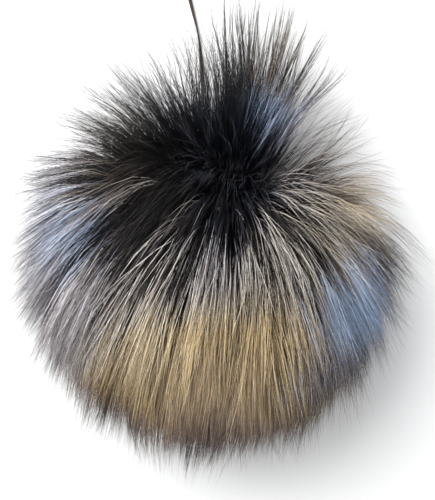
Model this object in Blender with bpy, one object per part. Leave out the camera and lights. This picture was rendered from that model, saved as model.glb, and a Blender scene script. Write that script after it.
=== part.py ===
"""A fur pom pom lying on a table: a skin ball covered with locks of long hair, and its thin lace tie.

Units are metres, +Z is up, and the origin is under the middle of the fur, on the table. The hair
parts at a crown near the top of the ball and lies away from it, longest towards -Y.
"""

import bmesh
import bpy
import numpy as np

BALL_RADIUS = 0.046
BALL_CENTRE = np.array((0.00066, -0.00574, 0.0435))
BALL_LUMPS = 0.0012
FLAT_SPOT_SLOPE = -0.95

# The crown is a direction from the ball's middle. Heights are above the skin, leans are in radians
# round the ball, and the front is the side towards -Y.
CROWN = np.array((0.15, 0.67, 0.72))
HAIR_HEIGHT_FRONT = 0.033
HAIR_HEIGHT_BACK = 0.046
HAIR_LEAN_FRONT = 0.92
HAIR_LEAN_BACK = 0.34
HAIR_DROOP = 0.010
EARLY_RISE = 0.35
EARLY_LEAN = 0.35
SIDE_BLEND = 0.9
CROWN_STEEPNESS = 1.6
LEAN_FADES_FROM = 1.2
TABLE_BEND_AT_ROOT = 0.006
TABLE_BEND_AT_TIP = 0.024
LET_DOWN_HEIGHT = 0.006

LOCK_STATIONS = (0.0, 0.26, 0.55, 0.80, 1.0)
LOCK_WIDTHS = (0.82, 0.78, 0.62, 0.37, 0.0)
LOCK_LENGTH_LEAST = 0.86
LOCK_LENGTH_MOST = 1.12
LOCK_STRAY = 0.0009
LOCK_EDGE_ANGLE = 0.9
LOWEST_LOCK_SLOPE = -0.80
SHORT_LOCK_SLOPE = -0.30
SHORTENING_BELOW = 0.75

TIE_DIAMETER = 0.0015
TIE_CLEARANCE = 0.0075
TIE_POINT_STEP = 0.0035
CURVE_STEPS = 24
TIE_ROUTE = (
    (-0.0036, 0.0396, 0.0373),
    (-0.0043, 0.0433, 0.0371),
    (-0.0048, 0.0480, 0.0335),
    (-0.0050, 0.0530, 0.0262),
    (-0.0051, 0.0585, 0.0168),
    (-0.0052, 0.0645, 0.0078),
    (-0.0055, 0.0710, 0.0025),
    (-0.0060, 0.0780, 0.0010),
    (-0.0066, 0.0845, 0.0009),
    (-0.0078, 0.0915, 0.0009),
    (-0.0094, 0.0980, 0.0009),
    (-0.0112, 0.1060, 0.0009),
    (-0.0122, 0.1140, 0.0009),
    (-0.0116, 0.1220, 0.0009),
)

random_numbers = np.random.default_rng(2)


def unit(vectors):
    return vectors / np.linalg.norm(vectors, axis=-1, keepdims=True)


def smooth_step(low, high, value):
    share = np.clip((value - low) / (high - low), 0.0, 1.0)
    return share * share * (3.0 - 2.0 * share)


def hair_point(directions, share):
    """Where hair rooted at these unit directions of the ball has got to, at this share of its length.

    The hair turns away from the crown as it rises, and its end droops.
    """
    crown = unit(CROWN)
    towards_crown = directions @ crown
    angle = np.arccos(np.clip(towards_crown, -1.0, 1.0))
    away = directions - towards_crown[..., None] * crown
    away = away / np.maximum(np.linalg.norm(away, axis=-1, keepdims=True), 1e-6)
    frontness = smooth_step(-SIDE_BLEND, SIDE_BLEND, -away[..., 1])
    height = HAIR_HEIGHT_BACK + (HAIR_HEIGHT_FRONT - HAIR_HEIGHT_BACK) * frontness
    rise = height * ((1.0 + EARLY_RISE) * share - EARLY_RISE * share**2)
    lean = HAIR_LEAN_BACK + (HAIR_LEAN_FRONT - HAIR_LEAN_BACK) * frontness
    lean = lean * np.sin(np.minimum(angle * CROWN_STEEPNESS, 0.5 * np.pi))
    lean = lean * smooth_step(np.pi, LEAN_FADES_FROM, angle)
    angle = angle + lean * (EARLY_LEAN * share + (1.0 - EARLY_LEAN) * share**2)
    turned = np.cos(angle)[..., None] * crown + np.sin(angle)[..., None] * away
    points = BALL_CENTRE + turned * (BALL_RADIUS + rise)[..., None]
    points[..., 2] -= HAIR_DROOP * share**2
    return points


def above_table(points, shares):
    """Bends what would pass through the table, so that it runs out level just above it."""
    bend = (TABLE_BEND_AT_ROOT + (TABLE_BEND_AT_TIP - TABLE_BEND_AT_ROOT) * shares)[:, None]
    below = np.minimum(points[..., 2] / bend - 1.0, 0.0)
    return np.dstack((points[..., :2], np.where(below < 0.0, bend * np.exp(below), points[..., 2])))


def let_down(rings, shares):
    """Lowers a lock that ends just above the table until it lies on it."""
    lowest = rings[..., 2].min(axis=1)
    station = int(np.argmin(lowest))
    if lowest[station] < LET_DOWN_HEIGHT:
        settled = np.minimum(shares / shares[station], 1.0) ** 2
        rings[..., 2] -= lowest[station] * settled[:, None]
    return rings


def smooth_route(route, step):
    """Points at equal steps along the smooth curve through the route's points."""
    knots = np.array(route)
    padded = np.vstack((2 * knots[0] - knots[1], knots, 2 * knots[-1] - knots[-2]))
    fine = []
    for index in range(len(knots) - 1):
        before, start, end, after = padded[index : index + 4]
        for t in np.linspace(0.0, 1.0, CURVE_STEPS, endpoint=False):
            fine.append(
                start
                + 0.5 * t * (end - before)
                + 0.5 * t**2 * (2 * before - 5 * start + 4 * end - after)
                + 0.5 * t**3 * (3 * start - before - 3 * end + after)
            )
    fine = np.array(fine + [knots[-1]])
    along = np.concatenate(((0.0,), np.cumsum(np.linalg.norm(np.diff(fine, axis=0), axis=1))))
    count = int(round(along[-1] / step)) + 1
    places = np.linspace(0.0, along[-1], count)
    return np.column_stack([np.interp(places, along, fine[:, axis]) for axis in range(3)])


def clear_scene():
    for found in list(bpy.data.objects):
        bpy.data.objects.remove(found, do_unlink=True)


def make_material(name, colour, roughness):
    material = bpy.data.materials.new(name)
    material.use_nodes = True
    shader = material.node_tree.nodes["Principled BSDF"]
    shader.inputs["Base Color"].default_value = (*colour, 1.0)
    shader.inputs["Roughness"].default_value = roughness
    shader.inputs["Metallic"].default_value = 0.0
    return material


def skin_ball(mesh):
    """The gathered skin ball, a little uneven, with a small flat spot on the table."""
    bmesh.ops.create_icosphere(mesh, subdivisions=3, radius=1.0)
    for vert in mesh.verts:
        direction = np.array(vert.co)
        lump = BALL_LUMPS * random_numbers.uniform(-1.0, 1.0)
        place = BALL_CENTRE + direction * (BALL_RADIUS + lump)
        if direction[2] < FLAT_SPOT_SLOPE:
            place[2] = 0.0
        vert.co = place


def grows_lock(face, tie_points):
    """Hair grows all round, but for the flat spot and where the tie comes out."""
    centre = np.array(face.calc_center_median())
    direction = unit(centre - BALL_CENTRE)
    if direction[2] < LOWEST_LOCK_SLOPE:
        return False
    path = np.array([hair_point(direction[None, :], share) for share in LOCK_STATIONS])
    path = above_table(path, np.array(LOCK_STATIONS))
    gaps = np.linalg.norm(path - tie_points[None, :, :], axis=2)
    return gaps.min() > TIE_CLEARANCE


def lock_length(direction):
    """The lock's length as a share of a full hair, shorter under the ball."""
    share = random_numbers.uniform(LOCK_LENGTH_LEAST, LOCK_LENGTH_MOST)
    under = smooth_step(SHORT_LOCK_SLOPE, LOWEST_LOCK_SLOPE, direction[2])
    return share * (1.0 - SHORTENING_BELOW * under)


def lock_rings(directions, length, stray):
    """The lock's three-cornered sections above the skin, narrower towards its tip."""
    middle = unit(directions.mean(axis=0))
    shares = length * np.array(LOCK_STATIONS[1:])
    rings = []
    for share, width in zip(shares, LOCK_WIDTHS[1:]):
        closer = width * BALL_RADIUS / (BALL_RADIUS + HAIR_HEIGHT_FRONT * share)
        spread = unit(middle + closer * (directions - middle))
        rings.append(hair_point(spread, share) + stray * share**2)
    return let_down(above_table(np.array(rings), shares), shares)


def grow_lock(mesh, face):
    """Draws one face of the skin out into a three-sided lock that narrows to its tip."""
    foot = np.array([vert.co for vert in face.verts])
    directions = unit(foot - BALL_CENTRE)
    length = lock_length(unit(directions.mean(axis=0)))
    stray = LOCK_STRAY * random_numbers.normal(size=3)
    foot = foot.mean(axis=0) + LOCK_WIDTHS[0] * (foot - foot.mean(axis=0))
    for ring in (foot, *lock_rings(directions, length, stray)):
        face = bmesh.ops.extrude_discrete_faces(mesh, faces=[face])["faces"][0]
        for vert, place in zip(face.verts, ring):
            vert.co = place
    bmesh.ops.pointmerge(mesh, verts=list(face.verts), merge_co=ring[0])


def make_fur_ball(collection, material, tie_points):
    mesh = bmesh.new()
    skin_ball(mesh)
    for face in [found for found in mesh.faces if grows_lock(found, tie_points)]:
        grow_lock(mesh, face)
    bmesh.ops.triangulate(mesh, faces=list(mesh.faces))
    bmesh.ops.recalc_face_normals(mesh, faces=list(mesh.faces))
    data = bpy.data.meshes.new("fur_ball")
    mesh.to_mesh(data)
    mesh.free()
    data.shade_smooth()
    data.set_sharp_from_angle(angle=LOCK_EDGE_ANGLE)
    data.materials.append(material)
    collection.objects.link(bpy.data.objects.new("fur_ball", data))


def make_tie(collection, material, tie_points):
    curve = bpy.data.curves.new("tie_lace", "CURVE")
    curve.dimensions = "3D"
    curve.bevel_depth = 0.5 * TIE_DIAMETER
    curve.bevel_resolution = 2
    curve.use_fill_caps = True
    spline = curve.splines.new("POLY")
    spline.points.add(len(tie_points) - 1)
    for point, place in zip(spline.points, tie_points):
        point.co = (*place, 1.0)
    curve.materials.append(material)
    collection.objects.link(bpy.data.objects.new("tie_lace", curve))


clear_scene()
parts = bpy.data.collections.new("pom_pom")
bpy.context.scene.collection.children.link(parts)
tie_route = smooth_route(TIE_ROUTE, TIE_POINT_STEP)
make_fur_ball(parts, make_material("long_fur", (0.27, 0.23, 0.19), 0.6), tie_route)
make_tie(parts, make_material("brown_lace", (0.05, 0.025, 0.015), 0.7), tie_route)
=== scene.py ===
import math

import bmesh
import bpy
import numpy as np
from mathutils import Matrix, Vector


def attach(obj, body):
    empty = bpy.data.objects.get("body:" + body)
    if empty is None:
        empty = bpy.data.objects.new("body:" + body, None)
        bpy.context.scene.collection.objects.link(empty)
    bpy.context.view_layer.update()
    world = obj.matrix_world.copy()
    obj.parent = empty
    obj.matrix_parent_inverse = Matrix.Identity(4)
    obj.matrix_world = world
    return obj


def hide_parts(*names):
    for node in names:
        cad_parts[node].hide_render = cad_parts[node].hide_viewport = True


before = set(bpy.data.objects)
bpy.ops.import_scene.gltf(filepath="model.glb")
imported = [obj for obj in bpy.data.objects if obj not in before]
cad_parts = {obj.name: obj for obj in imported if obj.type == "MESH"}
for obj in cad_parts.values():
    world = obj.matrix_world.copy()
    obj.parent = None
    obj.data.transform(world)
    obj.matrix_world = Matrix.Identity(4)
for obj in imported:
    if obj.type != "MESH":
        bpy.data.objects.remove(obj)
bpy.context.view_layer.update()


# The pom pom lies on a pale table and is looked at from straight above. The camera is placed so
# that the fur fills the picture's width, with its longest hair towards the lower edge.
PICTURE_HEIGHT = 0.200
PICTURE_MIDDLE = (0.0010, -0.0026, 0.045)
CAMERA_DISTANCE = 0.75
SENSOR = 36.0

camera_data = bpy.data.cameras.new("camera")
camera_data.sensor_width = SENSOR
camera_data.lens = SENSOR * CAMERA_DISTANCE / PICTURE_HEIGHT
camera = bpy.data.objects.new("camera", camera_data)
camera.location = Vector(PICTURE_MIDDLE) + Vector((0.0, 0.0, CAMERA_DISTANCE))
bpy.context.scene.collection.objects.link(camera)
bpy.context.scene.camera = camera


# The tie is one flat lace of dark brown suede, about 1.5 mm wide, sewn to the gathered skin under
# the hair. It comes out low at the back, turns over once or twice, and lies on the table.
LACE_WIDTH = 0.0015
LACE_THICKNESS = 0.0006
LACE_TURNS = 1.15
LACE_CORNERS = 10
LACE_SQUARENESS = 0.5
LACE_POINT_STEP = 0.0011
CURVE_STEPS = 24
WELD_DISTANCE = 1e-6
GRAIN_LOW = 0.3
GRAIN_HIGH = 0.7
LACE_ROUTE = (
    (-0.0036, 0.0396, 0.0373),
    (-0.0043, 0.0433, 0.0371),
    (-0.0048, 0.0480, 0.0335),
    (-0.0050, 0.0530, 0.0262),
    (-0.0051, 0.0585, 0.0168),
    (-0.0052, 0.0645, 0.0078),
    (-0.0055, 0.0710, 0.0025),
    (-0.0060, 0.0780, 0.0010),
    (-0.0066, 0.0845, 0.0009),
    (-0.0078, 0.0915, 0.0009),
    (-0.0094, 0.0980, 0.0009),
    (-0.0112, 0.1060, 0.0009),
    (-0.0122, 0.1140, 0.0009),
    (-0.0116, 0.1220, 0.0009),
)


def smooth_route(route, step):
    """Points at equal steps along the smooth curve through the route's points."""
    knots = np.array(route)
    padded = np.vstack((2 * knots[0] - knots[1], knots, 2 * knots[-1] - knots[-2]))
    fine = []
    for index in range(len(knots) - 1):
        before, start, end, after = padded[index : index + 4]
        for t in np.linspace(0.0, 1.0, CURVE_STEPS, endpoint=False):
            fine.append(
                start
                + 0.5 * t * (end - before)
                + 0.5 * t**2 * (2 * before - 5 * start + 4 * end - after)
                + 0.5 * t**3 * (3 * start - before - 3 * end + after)
            )
    fine = np.array(fine + [knots[-1]])
    along = np.concatenate(((0.0,), np.cumsum(np.linalg.norm(np.diff(fine, axis=0), axis=1))))
    places = np.linspace(0.0, along[-1], int(round(along[-1] / step)) + 1)
    return np.column_stack([np.interp(places, along, fine[:, axis]) for axis in range(3)])


def shader_of(name, roughness):
    """A new material with its Principled shader."""
    material = bpy.data.materials.new(name)
    material.use_nodes = True
    shader = material.node_tree.nodes["Principled BSDF"]
    shader.inputs["Roughness"].default_value = roughness
    return material, shader


def colour_ramp(tree, stops):
    """A ColorRamp node with these (place, colour) stops."""
    ramp = tree.nodes.new("ShaderNodeValToRGB")
    elements = ramp.color_ramp.elements
    while len(elements) < len(stops):
        elements.new(0.5)
    for element, (place, colour) in zip(elements, stops):
        element.position = place
        element.color = (*colour, 1.0)
    return ramp


def grained_material(name, roughness, grain_scale, grain_detail, dark, pale, depth, strength):
    """A matt material whose fine grain runs from a dark to a pale colour and stands out a little."""
    material, shader = shader_of(name, roughness)
    tree = material.node_tree
    place = tree.nodes.new("ShaderNodeTexCoord")
    grain = tree.nodes.new("ShaderNodeTexNoise")
    grain.inputs["Scale"].default_value = grain_scale
    grain.inputs["Detail"].default_value = grain_detail
    ramp = colour_ramp(tree, ((GRAIN_LOW, dark), (GRAIN_HIGH, pale)))
    bump = tree.nodes.new("ShaderNodeBump")
    bump.inputs["Distance"].default_value = depth
    bump.inputs["Strength"].default_value = strength
    tree.links.new(place.outputs["Object"], grain.inputs["Vector"])
    tree.links.new(grain.outputs["Fac"], ramp.inputs["Fac"])
    tree.links.new(grain.outputs["Fac"], bump.inputs["Height"])
    tree.links.new(ramp.outputs["Color"], shader.inputs["Base Color"])
    tree.links.new(bump.outputs["Normal"], shader.inputs["Normal"])
    return material


lace_path = smooth_route(LACE_ROUTE, LACE_POINT_STEP)
lace_outline = bpy.data.curves.new("lace_outline", "CURVE")
outline = lace_outline.splines.new("POLY")
corner_angles = np.linspace(0.0, 2.0 * math.pi, LACE_CORNERS, endpoint=False)
outline.points.add(len(corner_angles) - 1)
for point, turn in zip(outline.points, corner_angles):
    across = math.cos(turn)
    through = math.sin(turn)
    flat_x = 0.5 * LACE_WIDTH * np.sign(across) * abs(across) ** LACE_SQUARENESS
    flat_y = 0.5 * LACE_THICKNESS * np.sign(through) * abs(through) ** LACE_SQUARENESS
    point.co = (flat_x, flat_y, 0.0, 1.0)
outline.use_cyclic_u = True
lace_profile = bpy.data.objects.new("lace_outline", lace_outline)
bpy.context.scene.collection.objects.link(lace_profile)
lace_curve = bpy.data.curves.new("tie_curve", "CURVE")
lace_curve.dimensions = "3D"
lace_curve.twist_mode = "MINIMUM"
lace_curve.bevel_mode = "OBJECT"
lace_curve.bevel_object = lace_profile
lace_curve.use_fill_caps = True
lace_line = lace_curve.splines.new("POLY")
lace_line.points.add(len(lace_path) - 1)
for index, (point, place) in enumerate(zip(lace_line.points, lace_path)):
    point.co = (*place, 1.0)
    point.tilt = 2.0 * math.pi * LACE_TURNS * index / len(lace_path)
lace_form = bpy.data.objects.new("tie_curve", lace_curve)
bpy.context.scene.collection.objects.link(lace_form)


def plain_mesh(form, name):
    """The form with its bevel or modifier made real, as a plain mesh object at the origin."""
    graph = bpy.context.evaluated_depsgraph_get()
    data = bpy.data.meshes.new_from_object(form.evaluated_get(graph))
    data.name = name
    piece = bpy.data.objects.new(name, data)
    bpy.context.scene.collection.objects.link(piece)
    bpy.data.objects.remove(form)
    return piece


tie = plain_mesh(lace_form, "suede_tie")
bpy.data.objects.remove(lace_profile)
welded = bmesh.new()
welded.from_mesh(tie.data)
bmesh.ops.remove_doubles(welded, verts=welded.verts, dist=WELD_DISTANCE)
bmesh.ops.recalc_face_normals(welded, faces=welded.faces)
welded.to_mesh(tie.data)
welded.free()
tie.data.shade_smooth()
tie.data.materials.clear()
suede = grained_material(
    "brown_suede",
    roughness=0.85,
    grain_scale=900.0,
    grain_detail=4.0,
    dark=(0.010, 0.006, 0.005),
    pale=(0.065, 0.036, 0.027),
    depth=0.0001,
    strength=0.6,
)
tie.data.materials.append(suede)
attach(tie, "root")
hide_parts("tie_lace")

# The ball under the hair is a disc of tanned pelt, gathered by a thread round its edge and stuffed
# firm. Only its dark, slightly wrinkled skin is ever seen between the roots, and it rests flat.
BALL_RADIUS = 0.046
BALL_CENTRE = np.array((0.00066, -0.00574, 0.0435))
SKIN_SUBDIVISIONS = 5
SKIN_DENT = 0.0010
SKIN_LEVEL = 0.6
DENTS_ACROSS = 9.0
DENTS_ALONG = 8.0
DENTS_UP = 10.0
FLAT_SPOT_HEIGHT = 0.0004

skin_mesh = bmesh.new()
bmesh.ops.create_icosphere(skin_mesh, subdivisions=SKIN_SUBDIVISIONS, radius=1.0)
for vert in skin_mesh.verts:
    x, y, z = vert.co
    dent = math.sin(DENTS_ACROSS * x) * math.sin(DENTS_ALONG * y + 1.0) * math.sin(DENTS_UP * z)
    depth = SKIN_DENT * (SKIN_LEVEL + (1.0 - SKIN_LEVEL) * dent)
    place = BALL_CENTRE + np.array(vert.co) * (BALL_RADIUS - depth)
    place[2] = max(place[2], FLAT_SPOT_HEIGHT)
    vert.co = place
skin_data = bpy.data.meshes.new("skin_ball")
skin_mesh.to_mesh(skin_data)
skin_mesh.free()
skin_data.shade_smooth()
pelt = grained_material(
    "tanned_pelt",
    roughness=0.8,
    grain_scale=260.0,
    grain_detail=5.0,
    dark=(0.006, 0.005, 0.006),
    pale=(0.030, 0.022, 0.020),
    depth=0.0004,
    strength=0.7,
)
skin_data.materials.append(pelt)
skin = bpy.data.objects.new("skin_ball", skin_data)
bpy.context.scene.collection.objects.link(skin)
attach(skin, "root")
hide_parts("fur_ball")


# The fur is a long-haired pelt, dyed black, gold and steel blue. All its hair grows by one rule: it
# parts at a crown near the top, rises from the skin, leans away from the crown and droops.
CROWN = np.array((0.15, 0.67, 0.72))
HAIR_HEIGHT_FRONT = 0.033
HAIR_HEIGHT_BACK = 0.046
HAIR_LEAN_FRONT = 0.92
HAIR_LEAN_BACK = 0.34
HAIR_DROOP = 0.010
EARLY_RISE = 0.35
EARLY_LEAN = 0.35
SIDE_BLEND = 0.9
CROWN_STEEPNESS = 1.6
LEAN_FADES_FROM = 1.2
TABLE_BEND_AT_ROOT = 0.006
TABLE_BEND_AT_TIP = 0.024
LET_DOWN_HEIGHT = 0.006
HAIR_FLOOR = 0.0007
LOWEST_HAIR_SLOPE = -0.86
SHORT_HAIR_SLOPE = -0.30
SHORTENING_BELOW = 0.75
LINE_POINTS = 9
STRAIGHT_FROM = 0.62
STRAIGHT_STEP = 0.02
HAIR_REACH_SIDES = 0.101
HAIR_REACH_FRONT = 0.103
HAIR_REACH_BACK = 0.128
HAIR_REACH_UP = 0.124
SPOT_LENGTH = 1.05
SPOT_LEAN = 0.9
REACH_TRIES = 5
REACH_VARIES = 0.20
TALLEST = 1.10
ROOT_DEPTH = 0.0012

# The flanks are combed towards the front, so that the hair there turns and hangs almost parallel.
COMB_DOWN = 0.025
COMB_IN = 0.26
COMB_STARTS = 0.6
COMB_FULL = -0.3
COMB_ON_THE_RIGHT = 0.50
COMB_EASES_FROM = -0.2
COMB_EASED = 0.5
SWIRL_OF_LOCK = 0.09
SWIRL_OF_PATCH = 0.11
SWIRL_GROWTH = 1.5
UNEVENNESS = 0.08
HEIGHT_UNEVENNESS = 0.7 * UNEVENNESS
LEAN_UNEVENNESS = 1.5 * UNEVENNESS
SHORTEST_LOCK = 0.7
LONGEST_LOCK = 1.3
LOCK_OWN_TONE = 0.15

random_numbers = np.random.default_rng(11)


def smooth_step(low, high, value):
    share = np.clip((value - low) / (high - low), 0.0, 1.0)
    return share * share * (3.0 - 2.0 * share)


def unit(vectors):
    return vectors / np.maximum(np.linalg.norm(vectors, axis=-1, keepdims=True), 1e-9)


def round_the_crown(directions):
    """Each direction's angle from the crown, and the way along the ball that leads off from it."""
    crown = unit(CROWN)
    towards_crown = directions @ crown
    angle = np.arccos(np.clip(towards_crown, -1.0, 1.0))
    return angle, unit(directions - towards_crown[..., None] * crown)


def free_hair(directions, shares, height, lean, swirl):
    """Where the hair from each direction would be at these shares of its length, with no table."""
    crown = unit(CROWN)
    angle, away = round_the_crown(directions)
    across = np.cross(crown, away)
    frontness = smooth_step(-SIDE_BLEND, SIDE_BLEND, -away[:, 1])
    tall = height * (HAIR_HEIGHT_BACK + (HAIR_HEIGHT_FRONT - HAIR_HEIGHT_BACK) * frontness)
    rise = tall * ((1.0 + EARLY_RISE) * shares - EARLY_RISE * shares**2)
    turn = lean * (HAIR_LEAN_BACK + (HAIR_LEAN_FRONT - HAIR_LEAN_BACK) * frontness)
    turn = turn * np.sin(np.minimum(angle * CROWN_STEEPNESS, 0.5 * np.pi))
    turn = turn * smooth_step(np.pi, LEAN_FADES_FROM, angle)
    angles = angle + turn * (EARLY_LEAN * shares + (1.0 - EARLY_LEAN) * shares**2)
    swung = swirl * np.maximum(shares, 0.0) ** SWIRL_GROWTH
    way = np.cos(swung)[..., None] * away + np.sin(swung)[..., None] * across
    turned = np.cos(angles)[..., None] * crown + np.sin(angles)[..., None] * way
    points = BALL_CENTRE + turned * (BALL_RADIUS - ROOT_DEPTH + rise)[..., None]
    points[..., 2] -= HAIR_DROOP * shares**2
    combed = smooth_step(COMB_STARTS, COMB_FULL, away[:, 1])
    on_the_right = smooth_step(COMB_EASES_FROM, COMB_EASED, away[:, 0])
    combed = combed * (1.0 - (1.0 - COMB_ON_THE_RIGHT) * on_the_right)
    root = BALL_CENTRE + directions * BALL_RADIUS
    points[..., 1] -= COMB_DOWN * combed * (1.0 - away[:, 1] ** 2) * shares**2
    points[..., 0] -= COMB_IN * combed * shares * (points[..., 0] - root[:, 0])
    return points


def hair_lines(directions, lengths, height, lean, swirl=0.0):
    """The points of one line of hair from each direction. Its last stretch runs on straight."""
    shares = np.linspace(0.0, 1.0, LINE_POINTS)[:, None] * lengths[None, :]
    bent = np.minimum(shares, STRAIGHT_FROM)
    points = free_hair(directions, bent, height, lean, swirl)
    before = free_hair(directions, bent - STRAIGHT_STEP, height, lean, swirl)
    points = points + (points - before) * ((shares - bent) / STRAIGHT_STEP)[..., None]
    bend = TABLE_BEND_AT_ROOT + (TABLE_BEND_AT_TIP - TABLE_BEND_AT_ROOT) * shares
    below = np.minimum(points[..., 2] / bend - 1.0, 0.0)
    points[..., 2] = np.where(below < 0.0, bend * np.exp(below), points[..., 2])
    lowest = points[..., 2].min(axis=0)
    drop = np.where(lowest < LET_DOWN_HEIGHT, lowest - HAIR_FLOOR, 0.0)
    points[..., 2] -= drop * (shares / lengths) ** 2
    return points, shares


def roots_all_round(count, jitter):
    """Evenly scattered directions, none of them under the ball where it rests."""
    place = np.arange(count) + 0.5
    height = 1.0 - 2.0 * place / count
    turn = place * np.pi * (3.0 - np.sqrt(5.0))
    ring = np.sqrt(1.0 - height**2)
    directions = np.column_stack((ring * np.cos(turn), ring * np.sin(turn), height))
    spacing = np.sqrt(4.0 * np.pi / count)
    directions = unit(directions + jitter * spacing * random_numbers.normal(size=(count, 3)))
    return directions[directions[:, 2] > LOWEST_HAIR_SLOPE]


# How much longer or shorter the hair is than the rule says, and what share of it is missing, by
# where its tip would come to.
LENGTH_SPOTS = (
    # across, along, reach, longer, thinner
    (0.026, 0.086, 0.013, 0.14, -0.40),
    (-0.006, 0.086, 0.020, 0.06, 0.48),
    (0.009, 0.070, 0.009, -0.04, 0.34),
    (-0.045, 0.076, 0.022, 0.12, 0.60),
    (-0.074, 0.040, 0.020, 0.16, 0.54),
    (0.064, 0.060, 0.024, -0.10, 0.92),
    (0.050, 0.036, 0.014, 0.00, 0.35),
    (0.086, 0.020, 0.018, -0.13, 0.55),
    (0.086, -0.022, 0.022, -0.10, 0.40),
    (-0.088, -0.006, 0.026, 0.06, 0.36),
    (-0.062, -0.060, 0.018, -0.03, 0.15),
    (0.064, -0.058, 0.018, 0.04, 0.00),
    (0.000, -0.084, 0.030, -0.04, 0.15),
)
LONGER = 3
THINNER = 4

# The hair also turns aside in patches a few centimetres wide. The waves are counted over a radian.
BROAD_ACROSS = 5.0
BROAD_UP = 3.0
CROSS_ALONG = 6.0
CROSS_ACROSS = 4.0
FINE_LEVEL = 8.0
FINE_UP = 4.0
FINE_SHARE = 0.5


def spots_at(tips, column):
    total = np.zeros(len(tips))
    for spot in LENGTH_SPOTS:
        square = (tips[:, 0] - spot[0]) ** 2 + (tips[:, 1] - spot[1]) ** 2
        total += spot[column] * np.exp(-square / (2.0 * spot[2] ** 2))
    return total


def swirl_at(directions):
    """How far the hair turns aside at these roots."""
    x, y, z = directions.T
    broad = np.sin(BROAD_ACROSS * x + BROAD_UP * z)
    cross = np.cos(CROSS_ALONG * y - CROSS_ACROSS * x + 1.0)
    fine = np.sin(FINE_LEVEL * (x - y) + FINE_UP * z)
    return broad * cross + FINE_SHARE * fine


# Neighbouring locks hang together in bundles, narrow and wide ones, that part like the teeth of a
# comb. A bundle's pale hair lies on top, and the dark hair sinks into the gaps beside it.
BUNDLES = (
    # waves round the crown, bend with the angle, share of the tone, gather
    (21.0, 0.7, 0.34, 0.040),
    (34.0, -0.9, 0.30, 0.020),
    (57.0, 1.6, 0.22, 0.009),
)
BUNDLE_HEIGHT = 0.34
BUNDLE_WANDER = 3.0
BUNDLE_SHIFT = 0.1


def bundle_at(directions):
    """How dark the bundle is at these roots, from 0 to 1, and how far its hair is drawn aside."""
    angle, away = round_the_crown(directions)
    turn = np.arctan2(away[:, 0], -away[:, 1])
    dark = np.full(len(directions), 0.5)
    aside = np.zeros(len(directions))
    for waves, bend, tone, gather in BUNDLES:
        phase = waves * turn + bend * np.sin(BUNDLE_WANDER * angle + BUNDLE_SHIFT * waves)
        dark += tone * np.sin(phase)
        aside -= gather * np.cos(phase)
    return dark.clip(0.0, 1.0), aside


# The locks also cling together in pointed clumps: each is drawn to the nearest clump's own line, and
# the tips at the rim gather into points a few millimetres apart, some longer than others.
CLUMP_SHARE = 0.15
CLUMP_TONE = 0.50
TONE_LOW = 0.15
TONE_HIGH = 0.85
CLING_GROWTH = 1.5
TIP_POINTS = 112.0
TIP_GATHER = 0.85
TIP_RAGGED = 0.035
# size, waves round the crown, start
POINTS_DRIFT = ((1.9, 9.0, 0.0), (2.3, 23.0, 1.0))
POINTS_REACH = ((0.8, 31.0, 0.0), (0.8, 53.0, 2.0))


def tip_points(away, swirl):
    """Where each tip stands between two of the rim's points, as an angle, and how much longer it is."""
    crown = unit(CROWN)
    front = unit(np.array((0.0, -1.0, 0.0)) + crown[1] * crown)
    side = np.cross(crown, front)
    turn = np.arctan2(away @ side, away @ front) + swirl
    phase = TIP_POINTS * turn
    for size, waves, start in POINTS_DRIFT:
        phase = phase + size * np.sin(waves * turn + start)
    longer = np.cos(phase)
    for size, waves, start in POINTS_REACH:
        longer = longer + size * np.sin(waves * turn + start)
    return phase, TIP_RAGGED * longer


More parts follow.
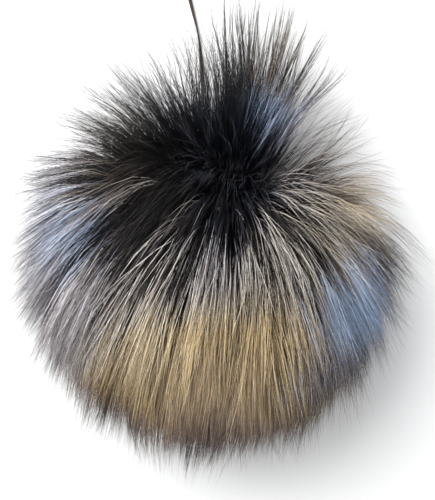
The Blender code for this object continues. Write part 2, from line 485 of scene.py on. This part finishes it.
def lock_lines(directions, length, height, lean, thinned, cling, stray):
    """A mesh of lines, one down the middle of each lock, with what the tree needs to know of it."""
    plain, _ = hair_lines(directions, np.full(len(directions), SPOT_LENGTH), 1.0, SPOT_LEAN)
    missing = thinned * spots_at(plain[-1], THINNER) > random_numbers.random(len(directions))
    directions, tips = directions[~missing], plain[-1][~missing]
    count = len(directions)
    lengths = length * (1.0 + spots_at(tips, LONGER))
    uneven = 1.0 + UNEVENNESS * random_numbers.normal(size=count)
    lengths = lengths * uneven.clip(SHORTEST_LOCK, LONGEST_LOCK)
    under = smooth_step(SHORT_HAIR_SLOPE, LOWEST_HAIR_SLOPE, directions[:, 2])
    lengths = lengths * (1.0 - SHORTENING_BELOW * under)
    dark, aside = bundle_at(directions)
    marks = random_numbers.random((count, 3))
    clumps = random_numbers.permutation(count)[: max(int(CLUMP_SHARE * count), 1)]
    clump = clumps[np.argmax(directions @ directions[clumps].T, axis=1)]
    own = LOCK_OWN_TONE * marks[:, 0] + CLUMP_TONE * marks[clump, 0]
    tone = own + (1.0 - LOCK_OWN_TONE - CLUMP_TONE) * dark
    marks[:, 0] = smooth_step(TONE_LOW, TONE_HIGH, tone)
    tall = height * (1.0 + HEIGHT_UNEVENNESS * random_numbers.normal(size=count))
    tall = tall * (1.0 + BUNDLE_HEIGHT * (0.5 - marks[:, 0]))
    tall = np.minimum(tall, TALLEST * height)
    leans = lean * (1.0 + LEAN_UNEVENNESS * random_numbers.normal(size=count))
    swirl = SWIRL_OF_PATCH * swirl_at(directions)
    swirl = swirl + SWIRL_OF_LOCK * random_numbers.normal(size=count)
    swirl = swirl + aside
    _, away = round_the_crown(directions)
    phase, longer = tip_points(away, swirl)
    swirl = swirl - TIP_GATHER / TIP_POINTS * np.sin(phase)
    lengths = lengths * (1.0 + longer)
    own_reach = 1.0 - REACH_VARIES * random_numbers.random(count)
    for _ in range(REACH_TRIES):
        points, _ = hair_lines(directions, lengths, tall, leans, swirl)
        tips = points[-1, :, :2]
        furthest = np.where(tips[:, 1] > 0.0, HAIR_REACH_BACK, HAIR_REACH_FRONT)
        room = stray * (lengths**2 if cling == 0.0 else np.ones(count))
        furthest = np.column_stack((np.full(count, HAIR_REACH_SIDES) - room, furthest - room))
        outwards = np.linalg.norm(tips / furthest, axis=1) / own_reach
        upwards = points[-1, :, 2] / (HAIR_REACH_UP - room)
        lengths = lengths / np.maximum(np.maximum(outwards, upwards), 1.0)
    points, shares = hair_lines(directions, lengths, tall, leans, swirl)
    drawn = cling * (shares / lengths) ** CLING_GROWTH
    points = points + drawn[..., None] * (points[:, clump] - points)
    side = unit(np.cross(directions, away))
    data = bpy.data.meshes.new("lock_lines")
    lines = np.arange(LINE_POINTS * count).reshape(LINE_POINTS, count).T
    edges = np.column_stack((lines[:, :-1].ravel(), lines[:, 1:].ravel()))
    data.from_pydata(points.reshape(-1, 3).tolist(), edges.tolist(), [])
    facts = (
        ("share", "FLOAT", shares),
        ("side_way", "FLOAT_VECTOR", np.broadcast_to(side, points.shape)),
        ("down_way", "FLOAT_VECTOR", np.broadcast_to(away, points.shape)),
        ("lock_marks", "FLOAT_VECTOR", np.broadcast_to(marks, points.shape)),
    )
    for name, kind, values in facts:
        attribute = data.attributes.new(name, kind, "POINT")
        target = "value" if kind == "FLOAT" else "vector"
        attribute.data.foreach_set(target, np.ascontiguousarray(values, dtype=np.float32).ravel())
    form = bpy.data.objects.new("lock_lines", data)
    bpy.context.scene.collection.objects.link(form)
    return form


# Each lock is many single hairs. The tree copies the lock's line, cuts each copy to its own length,
# spreads them at the root, draws them together towards the tip, bends them and tapers each to a point.
HAIR_SIZES = (
    ("Hairs in a lock", "NodeSocketInt", 8),
    ("Points in a hair", "NodeSocketInt", 5),
    ("Shortest", "NodeSocketFloat", 0.7),
    ("Spread at the root", "NodeSocketFloat", 0.0018),
    ("Spread at the tip", "NodeSocketFloat", 0.0012),
    ("Stray", "NodeSocketFloat", 0.003),
    ("Crimp", "NodeSocketFloat", 0.0004),
    ("Crimp scale", "NodeSocketFloat", 90.0),
    ("Thickness", "NodeSocketFloat", 0.00030),
    ("Seed", "NodeSocketInt", 0),
    ("Material", "NodeSocketMaterial", None),
)
HAIR_SIDES = 3
HAIR_TAPER = 1.4
MOSTLY_SHORTER = 0.65
STRAY_GROWTH = 2.0
CRIMP_GROWTH = 0.7
CRIMP_GAIN = 4.0
CRIMP_KINDS = 40.0


def hair_tree():
    tree = bpy.data.node_groups.new("single_hairs", "GeometryNodeTree")
    tree.interface.new_socket("Geometry", in_out="INPUT", socket_type="NodeSocketGeometry")
    tree.interface.new_socket("Geometry", in_out="OUTPUT", socket_type="NodeSocketGeometry")
    for name, kind, value in HAIR_SIZES:
        socket = tree.interface.new_socket(name, in_out="INPUT", socket_type=kind)
        if value is not None:
            socket.default_value = value
    given = tree.nodes.new("NodeGroupInput").outputs
    result = tree.nodes.new("NodeGroupOutput").inputs

    def feed(socket, value):
        if isinstance(value, bpy.types.NodeSocket):
            tree.links.new(value, socket)
        else:
            socket.default_value = value

    def node(kind, settings=(), **inputs):
        made = tree.nodes.new(kind)
        for key, value in dict(settings).items():
            setattr(made, key, value)
        for key, value in inputs.items():
            feed(made.inputs[key.replace("_", " ")], value)
        return made

    def number(operation, first, second=0.0):
        made = node("ShaderNodeMath", {"operation": operation})
        feed(made.inputs[0], first)
        feed(made.inputs[1], second)
        return made.outputs[0]

    def scaled(vector, factor):
        made = node("ShaderNodeVectorMath", {"operation": "SCALE"})
        feed(made.inputs[0], vector)
        feed(made.inputs["Scale"], factor)
        return made.outputs[0]

    def added(first, second):
        made = node("ShaderNodeVectorMath", {"operation": "ADD"})
        feed(made.inputs[0], first)
        feed(made.inputs[1], second)
        return made.outputs[0]

    def kept(name, kind):
        made = node("GeometryNodeInputNamedAttribute", {"data_type": kind}, Name=name)
        return made.outputs["Attribute"]

    def keep(geometry, name, kind, domain, value):
        made = node(
            "GeometryNodeStoreNamedAttribute",
            {"data_type": kind, "domain": domain},
            Geometry=geometry,
            Name=name,
            Value=value,
        )
        return made.outputs["Geometry"]

    def chance(kind, least, most, step):
        made = tree.nodes.new("FunctionNodeRandomValue")
        made.data_type = kind
        limits = ("Min", "Max")
        ends = [socket for socket in made.inputs if socket.enabled and socket.name in limits]
        ends[0].default_value = least
        feed(ends[1], most)
        feed(made.inputs["ID"], node("GeometryNodeInputIndex").outputs[0])
        feed(made.inputs["Seed"], number("ADD", given["Seed"], step))
        return [socket for socket in made.outputs if socket.enabled][0]

    lines = node("GeometryNodeMeshToCurve", Mesh=given["Geometry"]).outputs["Curve"]
    copies = node(
        "GeometryNodeDuplicateElements",
        {"domain": "SPLINE"},
        Geometry=lines,
        Amount=given["Hairs in a lock"],
    ).outputs["Geometry"]
    vectors = "FLOAT_VECTOR"
    own_marks = chance(vectors, (0.0, 0.0, 0.0), (1.0, 1.0, 1.0), 1)
    marked = keep(copies, "hair_marks", vectors, "CURVE", own_marks)
    own_way = chance(vectors, (-1.0, -1.0, -1.0), (1.0, 1.0, 1.0), 2)
    marked = keep(marked, "astray", vectors, "CURVE", own_way)
    cut_share = number("SUBTRACT", 1.0, given["Shortest"])
    shorter = number("POWER", chance("FLOAT", 0.0, 1.0, 3), MOSTLY_SHORTER)
    cut = number("SUBTRACT", 1.0, number("MULTIPLY", cut_share, shorter))
    trimmed = node("GeometryNodeTrimCurve", Curve=marked, End=cut).outputs["Curve"]
    hairs = node(
        "GeometryNodeResampleCurve", Curve=trimmed, Count=given["Points in a hair"]
    ).outputs["Curve"]
    along = node("GeometryNodeSplineParameter").outputs["Factor"]
    hairs = keep(hairs, "along", "FLOAT", "POINT", along)

    astray = kept("astray", vectors)
    apart = node("ShaderNodeSeparateXYZ", Vector=astray)
    share = kept("share", "FLOAT")
    spread = node("ShaderNodeMapRange", Value=share)
    feed(spread.inputs["To Min"], given["Spread at the root"])
    feed(spread.inputs["To Max"], given["Spread at the tip"])
    how_far = number("MULTIPLY", apart.outputs["X"], spread.outputs[0])
    sideways = scaled(kept("side_way", vectors), how_far)
    how_far = number("MULTIPLY", apart.outputs["Y"], spread.outputs[0])
    downwards = scaled(kept("down_way", vectors), how_far)
    how_far = number("MULTIPLY", given["Stray"], number("POWER", share, STRAY_GROWTH))
    stray = scaled(astray, how_far)
    noise_kind = {"noise_dimensions": "4D"}
    wave = node("ShaderNodeTexNoise", noise_kind, Scale=given["Crimp scale"], Detail=1.0)
    feed(wave.inputs["W"], number("MULTIPLY", apart.outputs["Z"], CRIMP_KINDS))
    feed(wave.inputs["Vector"], node("GeometryNodeInputPosition").outputs[0])
    crimp = added(wave.outputs["Color"], (-0.5, -0.5, -0.5))
    how_far = number("MULTIPLY", given["Crimp"], CRIMP_GAIN)
    how_far = number("MULTIPLY", how_far, number("POWER", share, CRIMP_GROWTH))
    crimp = scaled(crimp, how_far)
    moved = added(added(sideways, downwards), added(stray, crimp))
    hairs = node("GeometryNodeSetPosition", Geometry=hairs, Offset=moved).outputs["Geometry"]
    place = node("ShaderNodeSeparateXYZ", Vector=node("GeometryNodeInputPosition").outputs[0])
    level = node("ShaderNodeCombineXYZ", X=place.outputs["X"], Y=place.outputs["Y"])
    feed(level.inputs["Z"], number("MAXIMUM", place.outputs["Z"], HAIR_FLOOR))
    level = level.outputs[0]
    hairs = node("GeometryNodeSetPosition", Geometry=hairs, Position=level).outputs["Geometry"]

    section = node(
        "GeometryNodeCurvePrimitiveCircle",
        Resolution=HAIR_SIDES,
        Radius=number("MULTIPLY", given["Thickness"], 0.5),
    ).outputs["Curve"]
    taper = number("SUBTRACT", 1.0, number("POWER", along, HAIR_TAPER))
    solid = node(
        "GeometryNodeCurveToMesh",
        Curve=hairs,
        Profile_Curve=section,
        Scale=taper,
        Fill_Caps=True,
    ).outputs["Mesh"]
    solid = node(
        "GeometryNodeMergeByDistance", Geometry=solid, Distance=WELD_DISTANCE
    ).outputs["Geometry"]
    solid = node("GeometryNodeRealizeInstances", Geometry=solid).outputs["Geometry"]
    solid = node("GeometryNodeSetShadeSmooth", Geometry=solid).outputs["Geometry"]
    solid = node(
        "GeometryNodeSetMaterial", Geometry=solid, Material=given["Material"]
    ).outputs["Geometry"]
    tree.links.new(solid, result["Geometry"])
    return tree


# The dyer's shade card: across it the colours run from steel blue through lilac silver, cream and
# gold to brown, and up it each runs from nearly black to its palest. The UV map says each hair's shade.
SHADE_CARD = (
    # across, dark, middle, pale
    (0.00, (0.003, 0.004, 0.008), (0.12, 0.21, 0.36), (0.54, 0.73, 0.98)),
    (0.25, (0.003, 0.003, 0.004), (0.25, 0.23, 0.26), (0.78, 0.76, 0.82)),
    (0.50, (0.003, 0.003, 0.003), (0.35, 0.29, 0.24), (0.95, 0.88, 0.77)),
    (0.75, (0.006, 0.004, 0.003), (0.34, 0.23, 0.11), (0.88, 0.70, 0.40)),
    (1.00, (0.006, 0.004, 0.004), (0.14, 0.085, 0.088), (0.66, 0.56, 0.55)),
)
CARD_DARK = 0.02
CARD_MIDDLE = 0.5
HAIR_ROUGHNESS = 0.40
HAIR_SHEEN = 0.12


def hair_material():
    material, shader = shader_of("dyed_hair", HAIR_ROUGHNESS)
    shader.inputs["Specular IOR Level"].default_value = HAIR_SHEEN
    tree = material.node_tree
    card = tree.nodes.new("ShaderNodeUVMap")
    card.uv_map = "OFBake"
    place = tree.nodes.new("ShaderNodeSeparateXYZ")
    tree.links.new(card.outputs["UV"], place.inputs["Vector"])
    ramps = []
    for column in (1, 2, 3):
        ramp = colour_ramp(tree, [(row[0], row[column]) for row in SHADE_CARD])
        tree.links.new(place.outputs["X"], ramp.inputs["Fac"])
        ramps.append(ramp.outputs["Color"])
    shade = ramps[0]
    for paler, low, high in ((ramps[1], CARD_DARK, CARD_MIDDLE), (ramps[2], CARD_MIDDLE, 1.0)):
        amount = tree.nodes.new("ShaderNodeMapRange")
        amount.inputs["From Min"].default_value = low
        amount.inputs["From Max"].default_value = high
        tree.links.new(place.outputs["Y"], amount.inputs["Value"])
        mixed = tree.nodes.new("ShaderNodeMix")
        mixed.data_type = "RGBA"
        tree.links.new(amount.outputs[0], mixed.inputs["Factor"])
        tree.links.new(shade, mixed.inputs[6])
        tree.links.new(paler, mixed.inputs[7])
        shade = mixed.outputs[2]
    tree.links.new(shade, shader.inputs["Base Color"])
    return material


# Where each dye lies, seen from above: the middle of the patch, its reach, the place across the
# shade card, how dark its dark hairs and how pale its pale hairs are, and the share of pale ones.
DYED_PATCHES = (
    # name, across, along, reach, colour, dark, pale, share
    # The blue tint of the black hair round the crown, in these four rows, is painted reflection: it
    # stands for the blue sheen on that hair.
    ("whorl", 0.008, 0.023, 0.011, 0.14, 0.00, 0.18, 0.07),
    ("crown_ring", 0.008, 0.007, 0.009, 0.16, 0.00, 0.90, 0.06),
    ("black_top", -0.012, 0.044, 0.018, 0.18, 0.00, 0.16, 0.08),
    ("black_back", 0.008, 0.050, 0.012, 0.08, 0.00, 0.24, 0.10),
    ("black_left", -0.032, 0.036, 0.019, 0.60, 0.00, 0.06, 0.03),
    ("red_brown", -0.038, 0.042, 0.005, 1.00, 0.06, 0.30, 0.30),
    ("top_locks", 0.000, 0.068, 0.014, 0.35, 0.00, 0.42, 0.20),
    ("top_ends", 0.000, 0.090, 0.018, 0.60, 0.00, 0.34, 0.18),
    ("tall_locks", 0.026, 0.078, 0.012, 0.85, 0.03, 0.50, 0.30),
    ("blue_spray", 0.025, 0.054, 0.008, 0.00, 0.05, 0.90, 0.64),
    ("white_spray", 0.036, 0.047, 0.007, 0.25, 0.12, 1.00, 0.84),
    ("upper_right", 0.054, 0.044, 0.014, 0.42, 0.04, 0.86, 0.40),
    ("left_top", -0.054, 0.062, 0.016, 0.50, 0.00, 0.44, 0.22),
    ("left_rim", -0.064, 0.032, 0.013, 0.26, 0.02, 0.98, 0.48),
    ("left_blue", -0.056, 0.000, 0.013, 0.08, 0.02, 0.92, 0.54),
    ("left_edge", -0.077, -0.010, 0.012, 0.30, 0.02, 1.00, 0.60),
    ("left_middle", -0.050, -0.022, 0.013, 0.30, 0.02, 0.92, 0.53),
    ("left_low", -0.057, -0.044, 0.013, 0.32, 0.02, 0.98, 0.58),
    ("dark_left_streaks", -0.030, 0.008, 0.013, 0.42, 0.00, 0.84, 0.25),
    ("silver_left", -0.034, -0.012, 0.012, 0.42, 0.00, 0.92, 0.29),
    ("silver_middle", 0.000, -0.013, 0.014, 0.36, 0.00, 1.00, 0.26),
    ("silver_right", 0.032, -0.004, 0.015, 0.48, 0.00, 1.00, 0.42),
    ("cream_right", 0.058, 0.014, 0.010, 0.58, 0.06, 1.00, 0.90),
    ("gold_left", -0.034, -0.044, 0.015, 0.60, 0.04, 0.96, 0.66),
    ("gold_middle", 0.004, -0.043, 0.018, 0.76, 0.05, 1.00, 0.72),
    ("gold_right", 0.029, -0.045, 0.010, 0.75, 0.05, 0.98, 0.60),
    ("gold_low", 0.004, -0.060, 0.014, 0.80, 0.18, 1.00, 0.96),
    ("low_left_rim", -0.047, -0.067, 0.012, 0.95, 0.10, 0.80, 0.34),
    ("low_rim", 0.000, -0.081, 0.011, 0.95, 0.12, 0.80, 0.36),
    ("low_right_rim", 0.046, -0.070, 0.012, 0.95, 0.12, 0.80, 0.36),
    ("right_blue", 0.058, -0.028, 0.013, 0.00, 0.06, 1.00, 0.96),
    ("right_blue_low", 0.040, -0.057, 0.009, 0.06, 0.08, 0.90, 0.54),
    ("right_edge", 0.080, -0.014, 0.012, 0.28, 0.02, 0.84, 0.32),
    ("right_low", 0.056, -0.052, 0.010, 0.27, 0.04, 0.84, 0.40),
)
PATCH_JITTER_LOCK = 0.014
PATCH_JITTER_HAIR = 0.008
PATCH_SHARPNESS = 5
COLOUR_JITTER_LOCK = 0.10
COLOUR_JITTER_HAIR = 0.16
CARD_JITTER = 0.003
CARD_EDGE = 0.01

# A lock and each of its hairs both have a say in whether the hair is dark or pale.
LOCK_SAY = 0.5
SHADE_BLEND = 0.05
PALE_LEAST = 0.65
PALE_VARIES = 0.6
# Towards its root each hair is darkened: painted shade, for the dense fur shading itself near the skin.
PAINTED_ROOT_SHADE_TO = 0.08
PAINTED_ROOT_SHADE_GONE = 0.50

# Many hairs have a darker tip, brown in the gold fur of the front and lilac in the cool fur.
TIP_STARTS = 0.62
TIP_FULL = 0.90
TIP_SHADE = 0.26
TIP_LEAST = 0.2
TIP_VARIES = 1.6
TIP_COVER = 0.85
TIP_TINT = 0.7
TIP_COLOUR = 0.98
TIP_COLOUR_BACK = 0.28
WARM_COLOUR = 0.50
WARM_FROM = 0.0
WARM_FULL = -0.04

# The front rim is darker than the rest, but for a few hairs, and the fur near the table is duller.
RIM_STARTS = 0.067
RIM_DARK = 0.083
RIM_FROM = 0.010
RIM_FULL = -0.030
RIM_DARKENING = 0.30
RIM_TINT = 0.8
PALE_AT_THE_RIM = 0.22
PALE_RIM_SHARE = 0.2
LOW_FROM = 0.030
LOW_FULL = 0.005
LOW_COLOUR = 0.45
LOW_COVER = 0.5


def read_points(data, name, width):
    kind = "value" if width == 1 else "vector"
    values = np.empty(len(data.vertices) * width, np.float32)
    data.attributes[name].data.foreach_get(kind, values)
    return values.reshape(-1, width) if width > 1 else values


def dye(piece, root_shade, tip_share, paler):
    """Gives every hair of the piece its shade, by where it lies and by its own chance, and paints shade
    towards its root.
    """
    data = piece.data
    places = np.empty(len(data.vertices) * 3, np.float32)
    data.vertices.foreach_get("co", places)
    places = places.reshape(-1, 3)
    lock = read_points(data, "lock_marks", 3)
    hair = read_points(data, "hair_marks", 3)
    along = read_points(data, "along", 1)
    share = read_points(data, "share", 1)
    across = places[:, :2] + PATCH_JITTER_LOCK * (lock[:, 1:] - 0.5)
    across = across + PATCH_JITTER_HAIR * (hair[:, 1:] - 0.5)
    patches = np.array([row[1:] for row in DYED_PATCHES])
    square = ((across[:, None, :] - patches[None, :, :2]) ** 2).sum(axis=2)
    weight = 1.0 / (1.0 + square / patches[:, 2] ** 2) ** PATCH_SHARPNESS
    weight /= weight.sum(axis=1, keepdims=True)
    colour, dark, pale, pale_share = (weight @ patches[:, 3:]).T
    pick = (1.0 - LOCK_SAY) * hair[:, 0] + LOCK_SAY * lock[:, 0]
    paleness = smooth_step(SHADE_BLEND, -SHADE_BLEND, pick - pale_share - paler)
    shade = dark + (pale - dark) * paleness * (PALE_LEAST + PALE_VARIES * hair[:, 1])
    # Painted shade: each hair is darkened towards its root, where the dense fur shades itself.
    above_root = smooth_step(PAINTED_ROOT_SHADE_TO, PAINTED_ROOT_SHADE_GONE, share)
    shade = shade * (root_shade + (1.0 - root_shade) * above_root)
    tipped = smooth_step(TIP_STARTS, TIP_FULL, along) * (hair[:, 2] < tip_share)
    tip_shade = TIP_SHADE * (TIP_LEAST + TIP_VARIES * hair[:, 1])
    shade = shade + tipped * (tip_shade - shade) * TIP_COVER
    rim = smooth_step(RIM_STARTS, RIM_DARK, np.linalg.norm(places[:, :2], axis=1))
    rim = rim * smooth_step(RIM_FROM, RIM_FULL, places[:, 1])
    rim = rim * np.where(hair[:, 1] < PALE_AT_THE_RIM, PALE_RIM_SHARE, 1.0)
    shade = shade * (1.0 - RIM_DARKENING * rim)
    low = smooth_step(LOW_FROM, LOW_FULL, places[:, 2])
    colour = colour + low * (LOW_COLOUR - colour) * LOW_COVER
    colour = colour + COLOUR_JITTER_LOCK * (lock[:, 2] - 0.5)
    colour = colour + COLOUR_JITTER_HAIR * (hair[:, 2] - 0.5)
    warm = np.where(colour > WARM_COLOUR, smooth_step(WARM_FROM, WARM_FULL, places[:, 1]), 0.0)
    tip_colour = TIP_COLOUR_BACK + (TIP_COLOUR - TIP_COLOUR_BACK) * warm
    colour = colour + np.maximum(tipped * TIP_TINT, rim * RIM_TINT) * (tip_colour - colour)
    spots = np.column_stack((colour, shade)).clip(CARD_EDGE, 1.0 - CARD_EDGE)
    spots = spots + CARD_JITTER * random_numbers.uniform(-1.0, 1.0, spots.shape)
    corners = np.empty(len(data.loops), np.int32)
    data.loops.foreach_get("vertex_index", corners)
    card = data.uv_layers.new(name="OFBake")
    card.data.foreach_set("uv", spots[corners].astype(np.float32).ravel())
    for name in ("share", "side_way", "down_way", "lock_marks", "hair_marks", "astray", "along"):
        data.attributes.remove(data.attributes[name])


single_hairs = hair_tree()
dyed_hair = hair_material()


def grow(
    name,
    directions,
    sizes,
    length,
    height,
    lean,
    cling,
    root_shade,
    tips,
    paler=0.0,
    thinned=1.0,
):
    """Grows one piece of fur, from its locks' lines to the dyed mesh."""
    form = lock_lines(directions, length, height, lean, thinned, cling, sizes["Stray"])
    modifier = form.modifiers.new("single_hairs", "NODES")
    modifier.node_group = single_hairs
    wanted = dict(sizes, Material=dyed_hair)
    for socket in single_hairs.interface.items_tree:
        if socket.in_out == "INPUT" and socket.name in wanted:
            modifier[socket.identifier] = wanted[socket.name]
    piece = plain_mesh(form, name)
    dye(piece, root_shade, tips, paler)
    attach(piece, "root")
    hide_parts("fur_ball")


# The underfur is short, soft and crimped, and fills the gaps between the long hairs near the skin.
EVEN_ROOTS = 0.3
grow(
    "underfur",
    roots_all_round(3400, EVEN_ROOTS),
    {
        "Hairs in a lock": 4,
        "Points in a hair": 3,
        "Shortest": 0.6,
        "Spread at the root": 0.0026,
        "Spread at the tip": 0.0040,
        "Stray": 0.004,
        "Crimp": 0.0010,
        "Crimp scale": 160.0,
        "Thickness": 0.00050,
        "Seed": 3,
    },
    length=0.55,
    height=0.9,
    lean=0.9,
    # painted shade at the roots
    root_shade=0.3,
    cling=0.4,
    tips=0.0,
)


# The long guard hair is grown in six parts, by where it is rooted: round the crown, down the front,
# on the two flanks, at the back, and under the ball, where the hair is pressed short and flat.
CROWN_EDGE = 0.62
UNDERSIDE_EDGE = 2.2
FRONT_EDGE = 0.65
BACK_EDGE = 1.9
BLENDED_EDGE = 0.16
GUARD_HAIR = {
    "Points in a hair": 5,
    "Spread at the root": 0.0020,
    "Spread at the tip": 0.0007,
    "Crimp": 0.0005,
    "Crimp scale": 70.0,
}
GUARD_PARTS = (
    # name, lines all round, hairs in a lock, (length, height, lean), (shortest, thickness, stray),
    # cling, painted root shade, share with dark tips
    ("crown_hair", 5600, 10, (1.06, 0.90, 1.10), (0.52, 0.00027, 0.0060), 0.52, 0.5, 0.60),
    ("front_hair", 9500, 7, (1.14, 1.00, 1.00), (0.47, 0.00036, 0.0028), 0.62, 0.1, 0.85),
    ("left_hair", 7600, 7, (1.42, 1.00, 1.00), (0.52, 0.00032, 0.0038), 0.55, 0.1, 0.80),
    ("right_hair", 7000, 7, (1.10, 1.00, 1.00), (0.50, 0.00032, 0.0038), 0.58, 0.1, 0.80),
    ("back_hair", 7000, 6, (2.10, 1.06, 0.72), (0.30, 0.00024, 0.0050), 0.15, 0.4, 0.60),
    ("under_hair", 2400, 6, (1.00, 1.00, 1.00), (0.60, 0.00030, 0.0045), 0.40, 0.4, 0.80),
)


def part_of_fur(directions):
    """Which row of the guard parts each root belongs to."""
    angle, away = round_the_crown(directions)
    turn = np.arctan2(away[:, 0], -away[:, 1])
    turn = turn + BLENDED_EDGE * random_numbers.normal(size=len(directions))
    part = np.full(len(directions), 4)
    part[np.abs(turn) < FRONT_EDGE] = 1
    part[(turn <= -FRONT_EDGE) & (turn > -BACK_EDGE)] = 2
    part[(turn >= FRONT_EDGE) & (turn < BACK_EDGE)] = 3
    part[angle < CROWN_EDGE] = 0
    part[angle > UNDERSIDE_EDGE] = 5
    return part


def grow_guard_hair(name, roots, hairs, form, cut, seed, **rest):
    """Grows a piece whose form is its length, height and lean, and whose hairs are cut as given."""
    length, height, lean = form
    shortest, thickness, stray = cut
    sizes = dict(GUARD_HAIR)
    sizes["Hairs in a lock"] = hairs
    sizes["Shortest"] = shortest
    sizes["Thickness"] = thickness
    sizes["Stray"] = stray
    sizes["Seed"] = seed
    grow(name, roots, sizes, length, height, lean, **rest)


for row, columns in enumerate(GUARD_PARTS):
    name, lines, hairs, form, cut, cling, root_shade, tips = columns
    roots = roots_all_round(lines, EVEN_ROOTS)
    roots = roots[part_of_fur(roots) == row]
    seed = 10 * (row + 1)
    grow_guard_hair(
        name, roots, hairs, form, cut, seed, cling=cling, root_shade=root_shade, tips=tips
    )


# A few long hairs stand out of the fur all round, loosest at the top and on the upper right.
UNEVEN_ROOTS = 0.4
LOOSE_HAIR = {
    "Hairs in a lock": 2,
    "Points in a hair": 7,
    "Shortest": 0.75,
    "Spread at the root": 0.0030,
    "Spread at the tip": 0.0050,
    "Crimp": 0.0008,
    "Crimp scale": 40.0,
}
grow(
    "stray_hair",
    roots_all_round(900, UNEVEN_ROOTS),
    LOOSE_HAIR | {"Stray": 0.0045, "Thickness": 0.00021, "Seed": 91},
    length=1.32,
    height=0.88,
    lean=1.0,
    root_shade=0.5,
    cling=0.0,
    tips=0.6,
)


# Wisps of longer hair reach out past the rest, pointed like brush tips on the left, at the top and
# along the front edge. On the upper left and upper right there are loose single hairs as well.
WISPS = (
    # name, the way its roots face, nearness to that, lines all round, hairs in a lock,
    # (length, height, lean), (shortest, thickness, stray), cling, share with dark tips
    ("upper_left_wisps", (-0.88, 0.28, 0.38), 0.88, 2400, 7,
     (2.20, 1.00, 0.84), (0.72, 0.00026, 0.0010), 0.70, 0.8),
    ("upper_left_hair", (-0.50, 0.78, 0.35), 0.78, 1700, 2,
     (2.60, 1.00, 0.70), (0.76, 0.00021, 0.0022), 0.00, 0.6),
    ("top_wisps", (0.27, 0.955, 0.12), 0.975, 3800, 8,
     (2.50, 1.06, 0.75), (0.84, 0.00026, 0.0010), 0.45, 0.8),
    ("left_wisps", (-0.90, -0.22, 0.36), 0.84, 1800, 6,
     (2.10, 1.10, 0.62), (0.80, 0.00027, 0.0010), 0.65, 0.9),
    ("front_wisps", (0.00, -0.86, 0.30), 0.66, 1300, 6,
     (1.60, 1.06, 0.85), (0.84, 0.00030, 0.0008), 0.70, 0.9),
    ("right_wisps", (0.92, -0.15, 0.30), 0.80, 800, 5,
     (1.70, 1.08, 0.80), (0.78, 0.00025, 0.0016), 0.50, 0.9),
    ("fanned_hair", (0.62, 0.72, 0.30), 0.74, 1000, 2,
     (2.20, 1.00, 0.60), (0.62, 0.00021, 0.0040), 0.00, 0.5),
)
WISPS_ARE_DARKER = -0.08
WISP_SEED = 200
# The wisps' roots get painted shade too.
WISP_PAINTED_ROOT_SHADE = 0.4
for row, columns in enumerate(WISPS):
    name, side, near, lines, hairs, form, cut, cling, tips = columns
    roots = roots_all_round(lines, UNEVEN_ROOTS)
    grow_guard_hair(
        name,
        roots[roots @ unit(np.array(side)) > near],
        hairs,
        form,
        cut,
        WISP_SEED + row,
        cling=cling,
        root_shade=WISP_PAINTED_ROOT_SHADE,
        tips=tips,
        paler=WISPS_ARE_DARKER,
        thinned=0.0,
    )


# Pale single hairs lie across the others in front of the crown, mostly on its right.
CROSSING_SIDE = np.array((0.34, -0.02, 0.92))
CROSSING_REACH = 0.78
crossing_roots = roots_all_round(1900, UNEVEN_ROOTS)
crossing_roots = crossing_roots[crossing_roots @ unit(CROSSING_SIDE) > CROSSING_REACH]
grow(
    "crossing_hair",
    crossing_roots,
    LOOSE_HAIR | {"Stray": 0.015, "Thickness": 0.00027, "Crimp": 0.0016, "Seed": 57},
    length=0.98,
    height=1.08,
    lean=0.98,
    root_shade=0.8,
    cling=0.0,
    tips=0.1,
    paler=0.34,
)


# The table is a plain pale sheet of card, and is no part of the pom pom.
TABLE_SIZE = 6.0
TABLE_COLOUR = (0.87, 0.87, 0.87, 1.0)

bpy.ops.mesh.primitive_plane_add(size=TABLE_SIZE, location=(0.0, 0.0, 0.0))
table = bpy.context.object
table.name = "table"
table_material, table_shader = shader_of("pale_card", 0.9)
table_shader.inputs["Base Color"].default_value = TABLE_COLOUR
table.data.materials.append(table_material)


# A large soft light stands to the upper left, and a pale room fills the rest.
KEY_PLACE = (-0.55, 0.50, 1.00)
KEY_SIZE = 1.1
KEY_POWER = 26.0
ROOM_LIGHT = 0.75
ROOM_COLOUR = (0.98, 0.99, 1.0, 1.0)

key_data = bpy.data.lights.new("key", "AREA")
key_data.energy = KEY_POWER
key_data.size = KEY_SIZE
key = bpy.data.objects.new("key", key_data)
key.location = KEY_PLACE
key.rotation_euler = (-Vector(KEY_PLACE)).to_track_quat("-Z", "Y").to_euler()
bpy.context.scene.collection.objects.link(key)
world = bpy.data.worlds.new("room")
world.use_nodes = True
background = world.node_tree.nodes["Background"]
background.inputs["Color"].default_value = ROOM_COLOUR
background.inputs["Strength"].default_value = ROOM_LIGHT
bpy.context.scene.world = world
bpy.context.scene.view_settings.view_transform = "Standard"
